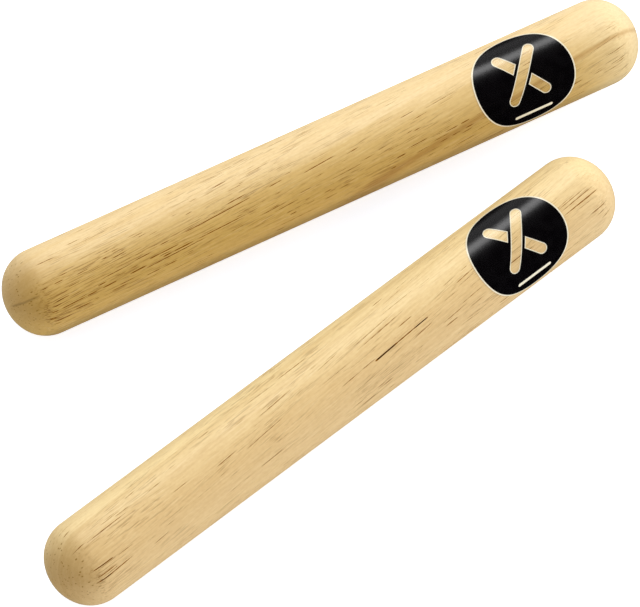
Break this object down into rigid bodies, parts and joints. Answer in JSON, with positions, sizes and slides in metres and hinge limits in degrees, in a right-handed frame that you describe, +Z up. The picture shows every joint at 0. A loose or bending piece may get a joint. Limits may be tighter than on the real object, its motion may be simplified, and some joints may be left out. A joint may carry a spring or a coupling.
{
  "type": "claves",
  "caption": "Turned hardwood claves with rounded ends, clear lacquer and round black labels, lying side by side at a narrow angle, struck together to mark rhythm.",
  "frame": {"origin": "on the surface that the pair lies on, under the middle of the pair", "axes": "+Z up, +X along the pair towards the labelled ends, where the sticks come closest; the striker lies on the +Y side"},
  "size_m": [0.2338, 0.1028, 0.0255],
  "materials": {
    "hardwood": "satin",
    "label_film": "gloss",
    "dark_ink": "gloss",
    "light_ink": "gloss"
  },
  "bodies": {
    "resonator": {"resonator_stick": "hardwood", "resonator_label_film": "label_film", "resonator_dark_print": "dark_ink", "resonator_light_print": "light_ink"},
    "striker": {"striker_stick": "hardwood", "striker_label_film": "label_film", "striker_dark_print": "dark_ink", "striker_light_print": "light_ink"}
  },
  "joints": [
    {"name": "striker_lift", "type": "slide", "parent": "resonator", "child": "striker", "axis": [0, 0, 1], "range_m": [0, 0.15]}
  ]
}
